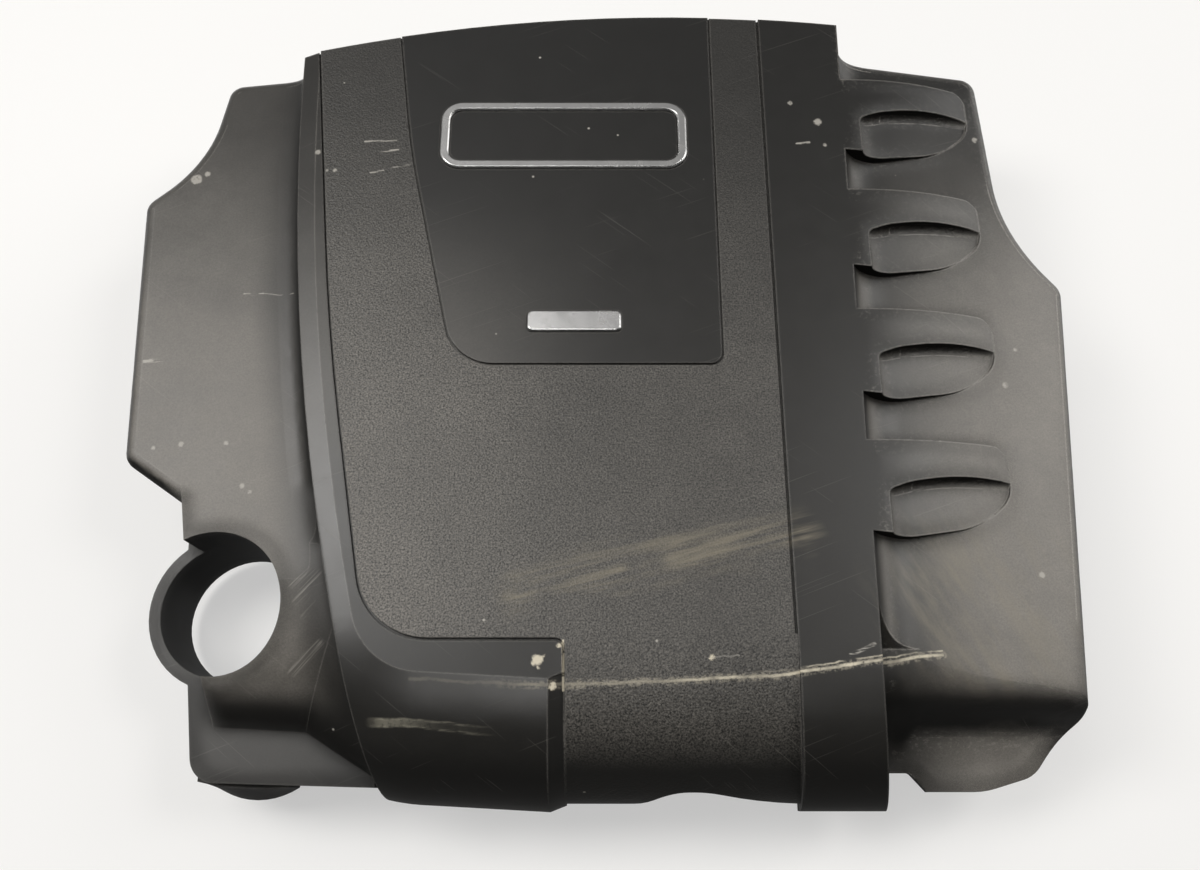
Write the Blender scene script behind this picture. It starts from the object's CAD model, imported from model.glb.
"""Engine cover in moulded black plastic: finishes, floor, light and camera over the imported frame."""
import functools
import math

import bpy
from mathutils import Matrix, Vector

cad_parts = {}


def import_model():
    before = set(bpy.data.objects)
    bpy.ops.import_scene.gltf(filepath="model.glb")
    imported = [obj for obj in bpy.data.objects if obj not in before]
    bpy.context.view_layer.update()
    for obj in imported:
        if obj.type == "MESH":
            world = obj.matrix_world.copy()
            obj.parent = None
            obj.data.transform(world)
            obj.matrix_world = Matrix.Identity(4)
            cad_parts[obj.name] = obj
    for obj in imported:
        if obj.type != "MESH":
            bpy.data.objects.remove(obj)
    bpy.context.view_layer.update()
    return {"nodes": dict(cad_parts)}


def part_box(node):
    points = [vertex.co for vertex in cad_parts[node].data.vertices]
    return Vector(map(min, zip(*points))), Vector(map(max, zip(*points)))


MM = 0.001

# The camera stands over the front edge and looks down at the cover, in metres and degrees.
CAMERA_PLACE = (0.00274, -0.21205, 0.580)
CAMERA_TILT = 19.5
CAMERA_LENS = 30.0
CAMERA_FILM = 36.0
CAMERA_NEAR = 0.01

# Soft lamps round the cover: name, place and size across in metres, and power in watts.
LAMPS = (("left_lamp", (-1.06, 0.26, 1.38), 0.70, 11.0),
         ("right_lamp", (0.95, 0.35, 1.45), 0.60, 7.0),
         ("top_lamp", (-0.52, 0.42, 1.70), 0.70, 6.0),
         ("side_lamp", (1.26, 0.58, 0.92), 0.70, 3.4),
         ("front_lamp", (-0.14, -0.50, 1.60), 0.50, 3.4))
LAMP_AIM = (0.0, 0.0, 0.05)
LAMP_COLOUR = (1.0, 0.985, 0.96)

# The room and the floor: strengths of light, and the floor's half width in metres.
ROOM_LIGHT = 0.16
ROOM_LEFT_LIGHT = 0.20
ROOM_FRONT_LIGHT = 0.03
WINDOW_LIGHT = 1.7
HORIZON_LIGHT = 0.35
FLOOR_GLOW = 0.45
FLOOR_ROUGHNESS = 0.8
FLOOR_REACH = 6.0

# Levels and lines of the cover, in millimetres: drops below its highest point, and places from its middle.
# A lean is the sideways move of a line for each millimetre along it.
PANEL_DROP = 0.8
FRAME_DROP = 1.8
STEP_X = -14.0
PANEL_ROLL_Y = -144.0
STRIP_LEFT_X = 97.0
STRIP_LEAN = 0.107
FIELD_RIGHT_X = 70.0
LEFT_WING_X = -120.0
LEFT_WING_Z = 88.0
RIGHT_WING_X = 140.0
RIGHT_EDGE_X = (195, 250)
FLANGE_Z = 56.0
RECESS_X = 138.0
RIDGE_X = -155.0
RIDGE_LEAN = -0.24
RIDGE_FOOT_X = -161.0
RIDGE_FOOT_LEAN = -0.2
RIDGE_FOOT_LIMIT = -170.0
RIGHT_BROW_X = (150, 162)
RIGHT_BROW_Y = (-128, -140)
LEFT_BROW_Y = (-58, -70)

# Reach of the rounded shading along crisp edges and over the brows, in metres, and its samples.
EDGE_REACH = 1.3 * MM
BROW_REACH = 12.0 * MM
TRIM_EDGE_REACH = 0.7 * MM
RUBBER_EDGE_REACH = 0.8 * MM
SHELL_SAMPLES = 2
SMALL_PIECE_SAMPLES = 4

# Colours of the finishes, linear.
BLACK_PLASTIC = (0.0090, 0.0088, 0.0082, 1)
GRAINED_PLASTIC = (0.012, 0.0118, 0.0110, 1)
FIELD_PLASTIC = (0.0090, 0.0089, 0.0085, 1)
DUSTY_PLASTIC = (0.265, 0.247, 0.222, 1)
CREAM_SCUFF = (0.66, 0.60, 0.47, 1)
YELLOW_STREAK = (0.36, 0.34, 0.27, 1)
BROWN_SMEAR = (0.21, 0.185, 0.135, 1)
PALE_DUST = (0.42, 0.40, 0.36, 1)
WORN_EDGE = (0.40, 0.38, 0.35, 1)
TRIM_METAL = (0.70, 0.70, 0.70, 1)
TRIM_GRIME = (0.11, 0.10, 0.09, 1)
RUBBER = (0.018, 0.018, 0.018, 1)
RUBBER_DUST = (0.085, 0.080, 0.073, 1)
FLOOR_WHITE = (0.89, 0.88, 0.86, 1)

# Scales of the grains, in cells for each metre.
CLOUD_SCALE = 14.0
PATCH_SCALE = 60.0
SPECK_SCALE = 62.0
FLECK_SCALE = 420.0
PEBBLE_SCALE = 900.0
GRIT_SCALE = 1100.0
SATIN_SCALE = 2600.0
FOG_SCALE = 90.0
PIT_SCALE = 900.0
BLOOM_SCALE = 160.0
RUBBER_SKIN_SCALE = 1800.0

# Shares of settled dust.
THIN_DUST = 0.03
PANEL_DUST = 0.17
PANEL_LEFT_DUST = 0.13
FIELD_DUST = 0.24
LEFT_FRAME_DUST = 0.18
LEFT_WING_DUST = 0.56
RIGHT_WING_DUST = 0.56
RIGHT_EDGE_DUST = 0.12
COVE_DUST = 0.10
COVE_FRONT_DUST = 0.22

# Strengths of the wear and the marks.
EDGE_WEAR = 0.35
RECESS_WEAR = 0.65
GATHERED_STRENGTH = 0.30
SPECK_STRENGTH = 0.85
HAIRLINE_STRENGTH = 0.08
SMEAR_STRENGTH = 0.75
HAZE_STRENGTH = 0.45
WIPED_STRENGTH = 0.40
DOT_STRENGTH = 0.45
PALE_STRENGTH = 0.75
SCUFF_STRENGTH = 0.9

# Gloss of the shell: satin on its upper faces, dull on those that face the front.
SATIN_ROUGHNESS = 0.36
LEAST_ROUGHNESS = 0.2
DULL_ROUGHNESS = 0.75
SATIN_SPECULAR = 0.50
DULL_SPECULAR = 0.10

# Scuffs and stains on the top faces: where they run, in plan, in millimetres.
# Lines are points; strokes are a start, an end and a width; spots are x, y and a radius.
LONG_SCUFF = ((-87, -163), (-24, -166), (3, -164.9), (45, -163.5), (72, -162), (92, -160.8),
              (112, -158), (135, -154.6), (169, -150.6))
SECOND_LINE = 2.1
STEP_SCUFF = ((-14.9, -145.5), (-14.6, -168))
FRONT_STREAK = ((-106, -182.3), (-82, -183), (-67, -185), (-47, -187))
BROAD_SMEAR = ((-36, -121), (-7, -112.5), (22, -106.5), (52, -100.5), (101, -94))
SMEAR_TURN = 14.0
DOT_TRAIL = ((56, -153), (69, -152.5))
PALE_STROKES = (((-131, 135.6), (-113, 136.4), 1.0), ((-122, 128.6), (-112, 130.2), 1.2),
                ((-126, 115.2), (-119.5, 116.2), 1.0), ((-115, 118), (-104, 120.4), 0.7),
                ((-196, 49.2), (-186, 49.0), 1.3), ((-186, 49.0), (-168, 48.6), 0.5),
                ((-246, 8.2), (-236.5, 8.8), 2.4), ((121, -152.4), (133, -147.2), 1.6),
                ((114.5, 133.6), (121.5, 134.4), 1.3))
SOFT_STROKES = (((-153, -115), (-143, -107), 2.6), ((-150, -123), (-140, -109), 3.4),
                ((-147, -130), (-142, -122), 2.2), ((-152, -156), (-138, -144), 5.0))
CREAM_BLOBS = ((-27.1, -154.4, 2.3), (-24.9, -153.6, 1.3), (-26.4, -157.8, 0.6),
               (-19.9, -166.3, 1.6), (-16.3, -147.4, 1.2), (55.9, -153, 1.1))
PALE_SPOTS = ((-157.5, 129.2, 1.5), (-233, 124, 3.2), (-227, 127.7, 1.6), (-234, -41.8, 1.0),
              (-219.4, -39.6, 1.3), (-195.6, -39.1, 1.1), (-184.2, -62.8, 1.3), (-179.7, -66.1, 1.0),
              (222.7, 146.8, 1.6), (112.4, 161.3, 1.2), (127.6, 148.2, 2.2), (130.5, 132.7, 0.9),
              (-146.5, 116.6, 1.0), (-151, 116.4, 0.7), (219.3, -8.4, 1.4), (224, -110.9, 1.5),
              (227.7, 12.3, 1.1))
HAZE_PATCHES = ((178, -122, 34), (196, -150, 30), (214, -120, 26))
HAIRLINE_TURNS = ((21.0, 9.0), (-38.0, 13.0))


class Value:
    """One output socket of a finish: arithmetic on it adds Math nodes."""

    def __init__(self, finish, socket):
        self.finish = finish
        self.socket = socket

    def __add__(self, other):
        return self.finish.math("ADD", self, other)

    def __sub__(self, other):
        return self.finish.math("SUBTRACT", self, other)

    def __rsub__(self, other):
        return self.finish.math("SUBTRACT", other, self)

    def __mul__(self, other):
        return self.finish.math("MULTIPLY", self, other)

    def __pow__(self, other):
        return self.finish.math("POWER", self, other)

    def __neg__(self):
        return self.finish.math("MULTIPLY", self, -1.0)

    __radd__ = __add__
    __rmul__ = __mul__

    def lowest(self, other):
        return self.finish.math("MINIMUM", self, other)

    def highest(self, other):
        return self.finish.math("MAXIMUM", self, other)

    def ramp(self, low, high):
        """0 at low and 1 at high, with soft ends; high may be the smaller of the two."""
        return self.finish.node("ShaderNodeMapRange", {"interpolation_type": "SMOOTHSTEP"},
                                {"Value": self, "From Min": low, "From Max": high})

    def beside(self, output):
        """Another output of the same node."""
        return Value(self.finish, self.socket.node.outputs[output])


class Finish:
    """One material, or the world: its node tree, and the one way to add a node to it."""

    def __init__(self, owner):
        self.owner = owner
        owner.use_nodes = True
        self.tree = owner.node_tree
        self.tree.nodes.clear()

    def node(self, kind, settings=None, sockets=None, output=0):
        """Add a node: its settings first, then the values or links of its sockets."""
        made = self.tree.nodes.new(kind)
        for name, setting in (settings or {}).items():
            setattr(made, name, setting)
        for name, value in (sockets or {}).items():
            if isinstance(value, Value):
                self.tree.links.new(value.socket, made.inputs[name])
            else:
                made.inputs[name].default_value = value
        return Value(self, made.outputs[output]) if made.outputs else None

    def math(self, operation, first, second):
        return self.node("ShaderNodeMath", {"operation": operation}, {0: first, 1: second})

    def blend(self, share, first, second):
        """Colour mix; share 0 gives the first colour and 1 the second."""
        return self.node("ShaderNodeMix", {"data_type": "RGBA"}, {0: share, 6: first, 7: second}, 2)

    def place(self):
        """Where a point lies on its own piece, in metres."""
        return self.node("ShaderNodeTexCoord", output=3)

    def noise(self, place, scale, detail=2.0, roughness=0.5):
        return self.node("ShaderNodeTexNoise", {"normalize": True},
                         {"Vector": place, "Scale": scale, "Detail": detail, "Roughness": roughness})

    def drawn_noise(self, place, scales, turn=0.0, detail=3.0, roughness=0.6):
        """Noise with a scale of its own along each axis, turned about the vertical by some degrees."""
        drawn = self.node("ShaderNodeMapping", {"vector_type": "TEXTURE"},
                          {"Vector": place, "Rotation": (0, 0, math.radians(turn)),
                           "Scale": tuple(1 / scale for scale in scales)})
        return self.noise(drawn, 1.0, detail, roughness)

    def flat_normal(self):
        return self.node("ShaderNodeNewGeometry", output=1)

    def eased_normal(self, reach, samples):
        """Normal that is rounded within the reach of an edge."""
        return self.node("ShaderNodeBevel", {"samples": samples}, {"Radius": reach})

    def edge_share(self, flat, eased):
        """0 on a plain face, and more where the eased normal leaves the flat one."""
        return 1 - self.node("ShaderNodeVectorMath", {"operation": "DOT_PRODUCT"}, {0: flat, 1: eased}, 1)

    def bump(self, height, eased, strength, depth):
        return self.node("ShaderNodeBump", None, {"Strength": strength, "Distance": depth,
                                                  "Height": height, "Normal": eased})

    def split(self, vector):
        """The three parts of a vector."""
        first = self.node("ShaderNodeSeparateXYZ", None, {0: vector})
        return first, first.beside(1), first.beside(2)

    def close(self, shader, kind="ShaderNodeOutputMaterial"):
        """Join the shader to the output, which ends the finish."""
        self.node(kind, None, {"Surface": shader})
        return self.owner


def new_finish(name):
    return Finish(bpy.data.materials.new(name))


def most(shares):
    return functools.reduce(Value.highest, shares)


def gap_to_run(x, y, start, end):
    """Distance in plan from a point to a straight run."""
    run = (end[0] - start[0], end[1] - start[1])
    length = math.hypot(*run)
    along = (x - start[0]) * (run[0] / length ** 2) + (y - start[1]) * (run[1] / length ** 2)
    along = along.lowest(1.0).highest(0.0)
    off_x = x - start[0] - along * run[0]
    off_y = y - start[1] - along * run[1]
    return (off_x * off_x + off_y * off_y) ** 0.5


def strokes(x, y, runs, fade):
    """1 on each short straight run, given as its start, its end and its width."""
    return most(gap_to_run(x, y, start, end).ramp(width / 2 + fade, width / 2 - fade)
                for start, end, width in runs)


def streak(x, y, points, width, fade):
    """1 on the line through the points, falling to 0 over the fade."""
    gaps = [gap_to_run(x, y, start, end) for start, end in zip(points, points[1:])]
    return functools.reduce(Value.lowest, gaps).ramp(width / 2 + fade, width / 2)


def spots(x, y, places, fade):
    """1 inside each round spot, given as x, y and radius."""
    found = []
    for spot_x, spot_y, radius in places:
        off_x = x - spot_x
        off_y = y - spot_y
        found.append(((off_x * off_x + off_y * off_y) ** 0.5).ramp(radius + fade, radius - fade))
    return most(found)


def shell_zones(x, y, z, top):
    """Shares of the grained panel, the smooth field, the frame at their left, and the two wings."""
    frame_top = top - FRAME_DROP
    panel_top = top - PANEL_DROP
    on_top = z.ramp(frame_top + 0.35, frame_top + 0.55)
    on_front = (-y).ramp(-PANEL_ROLL_Y - 1, -PANEL_ROLL_Y + 1) * x.ramp(STEP_X - 0.3, STEP_X + 0.3)
    strip_edge = (frame_top - z).highest(0.0) * STRIP_LEAN + STRIP_LEFT_X
    left_of_strip = (x - strip_edge).ramp(0.2, -0.2)
    field = z.ramp(panel_top + 0.2, panel_top + 0.4) * x.ramp(FIELD_RIGHT_X + 1, FIELD_RIGHT_X)
    panel = on_top.highest(on_front) * left_of_strip * (1 - field)

    ridge_foot = (y * RIDGE_FOOT_LEAN + RIDGE_FOOT_X).highest(RIDGE_FOOT_LIMIT)
    left_wing = z.ramp(LEFT_WING_Z, LEFT_WING_Z - 6) * x.ramp(LEFT_WING_X, LEFT_WING_X - 20)
    left_wing = left_wing * ((x - ridge_foot).ramp(-2, -26) * 0.8 + 0.2)
    left_wing = left_wing * (z.ramp(FLANGE_Z, FLANGE_Z + 8) * 0.9 + 0.1)
    right_wing = x.ramp(RIGHT_WING_X, RIGHT_WING_X + 65) * y.ramp(190, 60)
    left_frame = z.ramp(LEFT_WING_Z, LEFT_WING_Z + 4) * x.ramp(STEP_X, STEP_X - 10)
    left_frame = left_frame * (1 - panel) * (1 - field)
    return panel, field, left_frame, left_wing, right_wing


def shell_edges(finish, x, y):
    """Rounded normals, and the nearness of a crisp edge and of any edge.

    The brows of both wings and the foot of the ridge are eased widely, the coves a little.
    """
    flat = finish.flat_normal()
    eased = finish.eased_normal(EDGE_REACH, SHELL_SAMPLES)
    broad = finish.eased_normal(BROW_REACH, SHELL_SAMPLES)
    right_brow = x.ramp(*RIGHT_BROW_X) * y.ramp(*RIGHT_BROW_Y)
    ridge = y * RIDGE_LEAN + RIDGE_X
    left_brow = (x - ridge).ramp(-2, -8) * y.ramp(*LEFT_BROW_Y)
    coves = x.ramp(RECESS_X + 4, RECESS_X + 10) * 0.30
    rounded = finish.node("ShaderNodeMix", {"data_type": "VECTOR"},
                          {0: right_brow.highest(left_brow).highest(coves), 4: eased, 5: broad}, 1)
    crisp = finish.edge_share(flat, eased) * (1 - right_brow)
    nearby = finish.edge_share(flat, broad)
    return rounded, crisp, nearby


def shell_dust(finish, place, x, y, zones, facing_up, patchy):
    """Share of settled dust: most on the wings, least on the strip and the field, thin at the back."""
    panel, field, left_frame, left_wing, right_wing = zones
    cloudy = finish.noise(place, CLOUD_SCALE, detail=5.0, roughness=0.6)
    frontward = y.ramp(190, -60) * 0.8 + 0.2
    leftward = x.ramp(20, -120)
    settled = panel * (leftward * PANEL_LEFT_DUST + PANEL_DUST) + left_wing * LEFT_WING_DUST + THIN_DUST
    settled = settled + right_wing * (x.ramp(*RIGHT_EDGE_X) * RIGHT_EDGE_DUST + RIGHT_WING_DUST)
    settled = settled + field * leftward * y.ramp(110, 10) * FIELD_DUST
    settled = settled + left_frame * y.ramp(-80, 0) * LEFT_FRAME_DUST
    return settled * frontward * (cloudy * 0.9 + patchy * 0.5 + 0.3) * facing_up.ramp(0.72, 0.98)


def cove_dust(x, y, facing_right, facing_up):
    """Share of dust in the coved left ends of the recesses."""
    in_cove = x.ramp(RECESS_X, RECESS_X + 6) * x.ramp(RECESS_X + 46, RECESS_X + 30)
    in_cove = in_cove * facing_right.ramp(0.14, 0.45) * facing_up.ramp(0.45, 0.70)
    return in_cove * (y.ramp(200, 20) * COVE_FRONT_DUST + COVE_DUST)


def broad_smear(finish, place, x, y):
    """Dried wipe across the panel, drawn out along its own direction."""
    wipes = finish.drawn_noise(place, (16.0, 230.0, 60.0), SMEAR_TURN, detail=5.0, roughness=0.62)
    pools = finish.drawn_noise(place, (30.0, 60.0, 30.0), SMEAR_TURN, roughness=0.5)
    band = streak(x, y + (pools - 0.5) * 22, BROAD_SMEAR, width=6.0, fade=13.0)
    return band * wipes.ramp(0.36, 0.70) * pools.ramp(0.30, 0.55)


def hand_haze(finish, place, x, y):
    """Brownish wiped patches on the right wing."""
    wipes = finish.drawn_noise(place, (24.0, 110.0, 40.0), turn=-62.0, detail=4.0)
    return spots(x, y, HAZE_PATCHES, fade=24.0) * wipes.ramp(0.38, 0.72)


def front_streak(x, y, flecks, streaky):
    """Dried run of fluid: a thin film that is thicker on its left, with a faint broken rim."""
    film = streak(x, y, FRONT_STREAK, width=2.8, fade=1.3)
    rim = film - streak(x, y, FRONT_STREAK, width=1.4, fade=1.3)
    ends = x.ramp(-109, -98) * x.ramp(-44, -64)
    stain = film * (x.ramp(-70, -98) * 0.34 + 0.04) + rim * streaky.ramp(0.40, 0.60) * 0.30
    return stain * ends * flecks.ramp(0.10, 0.60)


def long_scuff(finish, place, x, y, flecks):
    """Scrape across the whole front, with a thin cream core.

    It is grey and faint on the left, dotted round its middle, and has a second line on the right.
    """
    along = finish.drawn_noise(place, (70.0, 4.0, 4.0), roughness=0.65)
    from_step = x.ramp(-60, -12)
    creamy = x.ramp(28, 62) * 0.6 + from_step * 0.3 + 0.1
    core = streak(x, y, LONG_SCUFF, width=0.5, fade=0.9) * (along.ramp(0.30, 0.62) * 0.7 + 0.3) * creamy
    second = streak(x, y - SECOND_LINE, LONG_SCUFF, width=0.1, fade=0.6)
    second = second * x.ramp(70, 110) * along.ramp(0.62, 0.40) * 0.8
    dotted = streak(x, y, LONG_SCUFF, width=2.2, fade=1.6) * flecks.ramp(0.44, 0.60) * from_step * 0.30
    return most((core, second, dotted)) * flecks.ramp(0.20, 0.46)


def wiped_strokes(finish, place, x, y):
    """Soft scratches drawn across the foot of the ridge, each a bundle of fine parallel lines."""
    bundle = finish.drawn_noise(place, (22.0, 900.0, 60.0), turn=46.0)
    return strokes(x, y, SOFT_STROKES, fade=1.5) * bundle.ramp(0.46, 0.64)


def hairlines(finish, place):
    """Fine scratches in two directions."""
    return most(finish.drawn_noise(place, (stretch, 1300.0, 60.0), turn, detail=1.0, roughness=0.5)
                .ramp(0.735, 0.765) for turn, stretch in HAIRLINE_TURNS)


def loose_specks(finish, place):
    """One small fleck in some of the cells of a scattered pattern."""
    cells = finish.node("ShaderNodeTexVoronoi", None, {"Vector": place, "Scale": SPECK_SCALE})
    picked = finish.split(cells.beside("Color"))[0]
    return cells.ramp(0.06, 0.02) * picked.ramp(0.68, 0.70)


def moulded_shell_finish(top):
    """Black moulded plastic: pebbled panel, satin elsewhere, with dust, scuffs and worn edges."""
    finish = new_finish("moulded_shell")
    place = finish.place()
    x, y, z = finish.split(finish.node("ShaderNodeVectorMath", {"operation": "SCALE"},
                                       {"Vector": place, "Scale": 1 / MM}))
    zones = shell_zones(x, y, z, top)
    panel, field, left_frame = zones[:3]
    rounded, crisp, nearby = shell_edges(finish, x, y)
    facing_right, facing_back, facing_up = finish.split(rounded)
    upper = facing_up.ramp(0.2, 0.9)
    patchy = finish.noise(place, PATCH_SCALE, detail=4.0, roughness=0.6)
    flecks = finish.noise(place, FLECK_SCALE, detail=3.0, roughness=0.7)
    grit = finish.noise(place, GRIT_SCALE, roughness=0.6)
    streaky = finish.drawn_noise(place, (110.0, 800.0, 110.0), turn=4.0)

    # Ground colour, and the settled dust with the panel's pebbled speckle in it.
    ground = finish.blend(panel, BLACK_PLASTIC, GRAINED_PLASTIC)
    ground = finish.blend(field, ground, FIELD_PLASTIC)
    settled = shell_dust(finish, place, x, y, zones, facing_up, patchy)
    settled = settled.highest(cove_dust(x, y, facing_right, facing_up))
    settled = settled * (1 + (grit - 0.5) * (panel * 5.0 + 0.8))
    colour = finish.blend(settled.lowest(1.0).highest(0.0), ground, DUSTY_PLASTIC)

    # Worn edges: the satin skin is rubbed paler along crisp corners, most round the recesses.
    at_recesses = x.ramp(RECESS_X, RECESS_X + 6)
    rubbed = crisp.ramp(0.001, 0.014) * flecks.ramp(0.25, 0.50) * upper
    colour = finish.blend(rubbed * (at_recesses * RECESS_WEAR + EDGE_WEAR), colour, WORN_EDGE)
    gathered = nearby.ramp(0.004, 0.10) * flecks.ramp(0.52, 0.66) * at_recesses * facing_up.ramp(0.80, 0.97)
    colour = finish.blend(gathered * GATHERED_STRENGTH, colour, PALE_DUST)
    colour = finish.blend(loose_specks(finish, place) * upper * SPECK_STRENGTH, colour, PALE_DUST)
    scratches = hairlines(finish, place)
    colour = finish.blend(scratches * upper * HAIRLINE_STRENGTH, colour, PALE_DUST)

    # Stains and scuffs at their own places, with a wandering outline.
    wander_x = x + (patchy - 0.5) * 2.4
    wander_y = y + (flecks - 0.5) * 2.6
    soft_x = x + (patchy - 0.5) * 3.0
    soft_y = y + (patchy - 0.5) * 3.0
    colour = finish.blend(broad_smear(finish, place, x, y) * SMEAR_STRENGTH, colour, BROWN_SMEAR)
    haze = hand_haze(finish, place, x, y) * facing_up.ramp(0.78, 0.98)
    colour = finish.blend(haze * HAZE_STRENGTH, colour, BROWN_SMEAR)
    colour = finish.blend(front_streak(soft_x, soft_y, flecks, streaky), colour, YELLOW_STREAK)
    wiped = wiped_strokes(finish, place, soft_x, soft_y)
    colour = finish.blend(wiped * WIPED_STRENGTH, colour, PALE_DUST)
    pale = most((strokes(soft_x, soft_y, PALE_STROKES, fade=0.45) * streaky.ramp(0.42, 0.58),
                 streak(wander_x, wander_y, DOT_TRAIL, width=0.1, fade=0.5) * DOT_STRENGTH,
                 spots(wander_x, wander_y, PALE_SPOTS, fade=0.6) * flecks.ramp(0.25, 0.5)))
    colour = finish.blend(pale * PALE_STRENGTH, colour, PALE_DUST)
    blob_x = wander_x + (flecks - 0.5) * 5
    blob_y = wander_y + (grit - 0.5) * 2
    scuff = most((long_scuff(finish, place, x, soft_y + (flecks - 0.5) * 0.8, flecks),
                  streak(x, wander_y, STEP_SCUFF, width=0.6, fade=0.5) * flecks.ramp(0.34, 0.5),
                  spots(blob_x, blob_y, CREAM_BLOBS, fade=0.7)))
    colour = finish.blend(scuff * SCUFF_STRENGTH, colour, CREAM_SCUFF)

    # Pebble grain on the panel, a fine eroded satin elsewhere.
    pebbles = finish.node("ShaderNodeTexVoronoi", {"feature": "SMOOTH_F1"},
                          {"Vector": place, "Scale": PEBBLE_SCALE, "Smoothness": 0.6})
    satin = finish.noise(place, SATIN_SCALE)
    height = pebbles * panel * 3.0 + satin * (1 - panel * 0.6) * (1 - field * 0.6) * 0.35
    height = height + scuff * 0.5 - scratches * 0.15
    normal = finish.bump(height, rounded, strength=0.6, depth=0.10 * MM)

    # Gloss: dust, scuffs and steep faces are rougher, and faces to the front are dull.
    steep = 1 - facing_up.ramp(0.25, 0.65)
    roughness = SATIN_ROUGHNESS + (panel - left_frame) * 0.06 + (patchy - 0.5) * 0.08
    roughness = roughness + settled * 0.2 + scuff * 0.3 + steep * 0.48
    satin_skin = finish.node("ShaderNodeBsdfPrincipled", None, {
        "Base Color": colour, "Roughness": roughness.highest(LEAST_ROUGHNESS), "Normal": normal,
        "Specular IOR Level": SATIN_SPECULAR})
    dull_skin = finish.node("ShaderNodeBsdfPrincipled", None, {
        "Base Color": colour, "Roughness": DULL_ROUGHNESS, "Normal": normal,
        "Specular IOR Level": DULL_SPECULAR})
    to_front = (-facing_back).ramp(0.22, 0.60)
    return finish.close(finish.node("ShaderNodeMixShader", None, {0: to_front, 1: satin_skin, 2: dull_skin}))


def bright_trim_finish():
    """Bright metal-faced trim, fogged and a little grimy at its edges."""
    finish = new_finish("bright_trim")
    place = finish.place()
    rounded = finish.eased_normal(TRIM_EDGE_REACH, SMALL_PIECE_SAMPLES)
    edge = finish.edge_share(finish.flat_normal(), rounded)
    fog = finish.noise(place, FOG_SCALE, detail=4.0, roughness=0.6)
    pits = finish.noise(place, PIT_SCALE)
    grime = fog.ramp(0.5, 0.72) * 0.35 + edge.ramp(0.1, 0.4) * pits.ramp(0.45, 0.6) * 0.4
    return finish.close(finish.node("ShaderNodeBsdfPrincipled", None, {
        "Base Color": finish.blend(grime, TRIM_METAL, TRIM_GRIME),
        "Metallic": 1 - grime * 0.7, "Roughness": 0.16 + fog * 0.18,
        "Normal": finish.bump(pits, rounded, strength=0.25, depth=0.05 * MM)}))


def rubber_socket_finish():
    """Matt black rubber with a grey bloom."""
    finish = new_finish("rubber_socket")
    place = finish.place()
    rounded = finish.eased_normal(RUBBER_EDGE_REACH, SMALL_PIECE_SAMPLES)
    bloom = finish.noise(place, BLOOM_SCALE, detail=4.0, roughness=0.6)
    skin = finish.noise(place, RUBBER_SKIN_SCALE)
    return finish.close(finish.node("ShaderNodeBsdfPrincipled", None, {
        "Base Color": finish.blend(bloom.ramp(0.4, 0.8) * 0.6, RUBBER, RUBBER_DUST),
        "Roughness": 0.68 + bloom * 0.2,
        "Normal": finish.bump(skin, rounded, strength=0.4, depth=0.08 * MM)}))


def dress(frame, top):
    """Give every node of the frame its finish."""
    shell = moulded_shell_finish(top)
    trim = bright_trim_finish()
    rubber = rubber_socket_finish()
    for name, node in frame["nodes"].items():
        finish = rubber if name.startswith("grommet") else shell if name == "cover_shell" else trim
        for slot in node.material_slots:
            slot.material = finish


def seen_directly(finish):
    """1 for what the camera sees, also in bright metal or through glass."""
    ray = finish.node("ShaderNodeLightPath")
    return most((ray, ray.beside("Is Glossy Ray"), ray.beside("Is Transmission Ray")))


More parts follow.
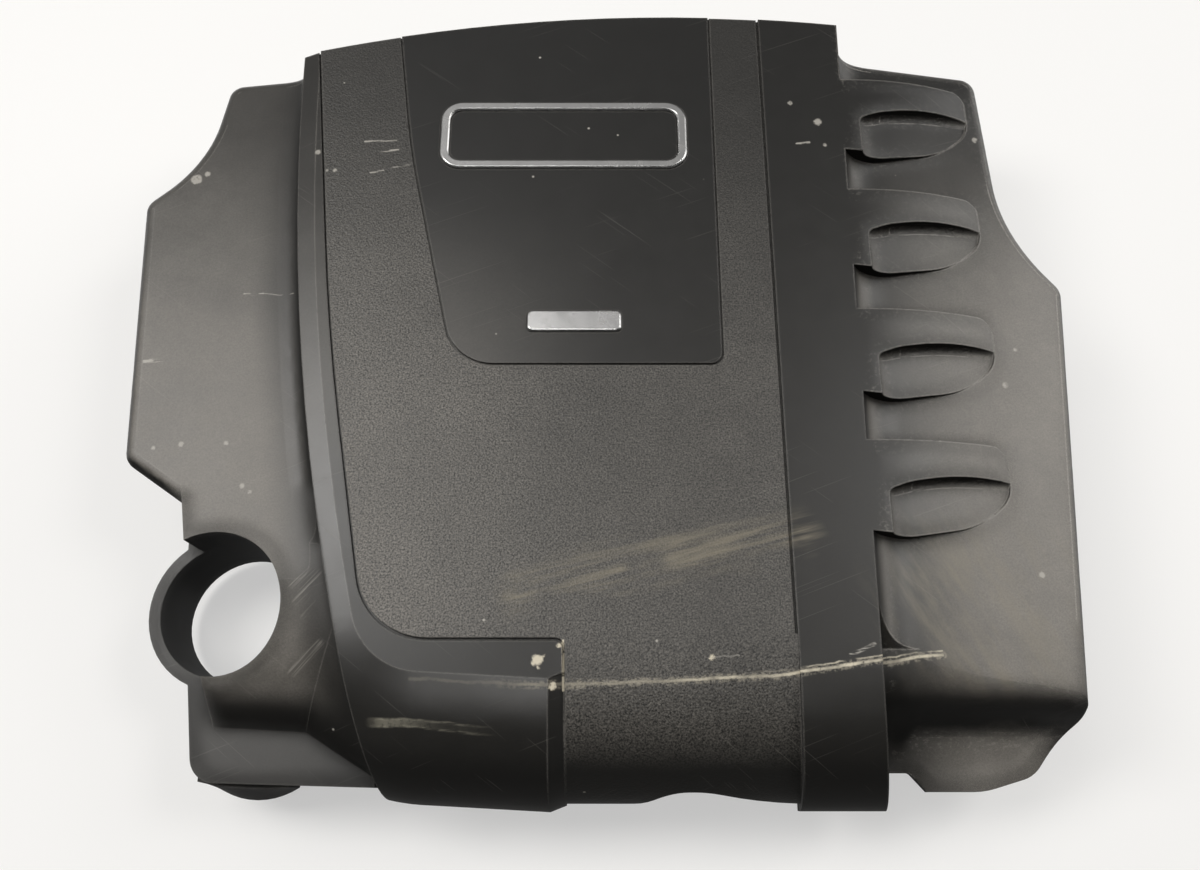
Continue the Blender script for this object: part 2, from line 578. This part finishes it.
def floor():
    """Plain white floor that keeps the cover's shadow."""
    corners = [(-FLOOR_REACH, -FLOOR_REACH, 0), (FLOOR_REACH, -FLOOR_REACH, 0),
               (FLOOR_REACH, FLOOR_REACH, 0), (-FLOOR_REACH, FLOOR_REACH, 0)]
    mesh = bpy.data.meshes.new("floor")
    mesh.from_pydata(corners, [], [(0, 1, 2, 3)])
    plane = bpy.data.objects.new("floor", mesh)
    bpy.context.scene.collection.objects.link(plane)
    finish = new_finish("floor_white")
    paper = finish.node("ShaderNodeBsdfPrincipled", None,
                        {"Base Color": FLOOR_WHITE, "Roughness": FLOOR_ROUGHNESS})
    white = finish.node("ShaderNodeEmission", None, {"Color": (1, 1, 1, 1), "Strength": 1.0})
    glow = seen_directly(finish) * FLOOR_GLOW
    lit_paper = finish.node("ShaderNodeMixShader", None, {0: glow, 1: paper, 2: white})
    mesh.materials.append(finish.close(lit_paper))


def surroundings():
    """A pale room, dark in front of the cover, with a window low on its right and a pale horizon."""
    finish = Finish(bpy.data.worlds.new("room"))
    bpy.context.scene.world = finish.owner
    across, back, up = finish.split(finish.node("ShaderNodeTexCoord"))
    behind = back.ramp(-0.5, 0.3) * up.ramp(-0.1, 0.3)
    room = behind * (across.ramp(0.4, -0.3) * ROOM_LEFT_LIGHT + ROOM_LIGHT) + ROOM_FRONT_LIGHT
    window = across.ramp(0.50, 0.80) * back.ramp(-0.1, 0.2) * up.ramp(0.70, 0.45) * WINDOW_LIGHT
    horizon = up.ramp(0.20, 0.10) * seen_directly(finish) * HORIZON_LIGHT
    light = finish.node("ShaderNodeBackground", None,
                        {"Color": (*LAMP_COLOUR, 1), "Strength": (room + window).highest(horizon)})
    finish.close(light, "ShaderNodeOutputWorld")


def soft_lamp(name, place, size, power):
    """Round area lamp that points at the middle of the cover."""
    lamp = bpy.data.lights.new(name, "AREA")
    lamp.shape = "DISK"
    lamp.size = size
    lamp.energy = power
    lamp.color = LAMP_COLOUR
    holder = bpy.data.objects.new(name, lamp)
    bpy.context.scene.collection.objects.link(holder)
    holder.location = place
    holder.rotation_euler = (Vector(place) - Vector(LAMP_AIM)).to_track_quat("Z", "Y").to_euler()


def camera():
    """The photograph's own view."""
    eye = bpy.data.cameras.new("camera")
    eye.sensor_width = CAMERA_FILM
    eye.lens = CAMERA_LENS
    eye.clip_start = CAMERA_NEAR
    holder = bpy.data.objects.new("camera", eye)
    bpy.context.scene.collection.objects.link(holder)
    holder.location = CAMERA_PLACE
    holder.rotation_euler = (math.radians(CAMERA_TILT), 0, 0)
    bpy.context.scene.camera = holder


def main():
    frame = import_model()
    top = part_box("cover_shell")[1][2] / MM
    bpy.context.scene.view_settings.view_transform = "Standard"
    dress(frame, top)
    floor()
    surroundings()
    for lamp in LAMPS:
        soft_lamp(*lamp)
    camera()


main()
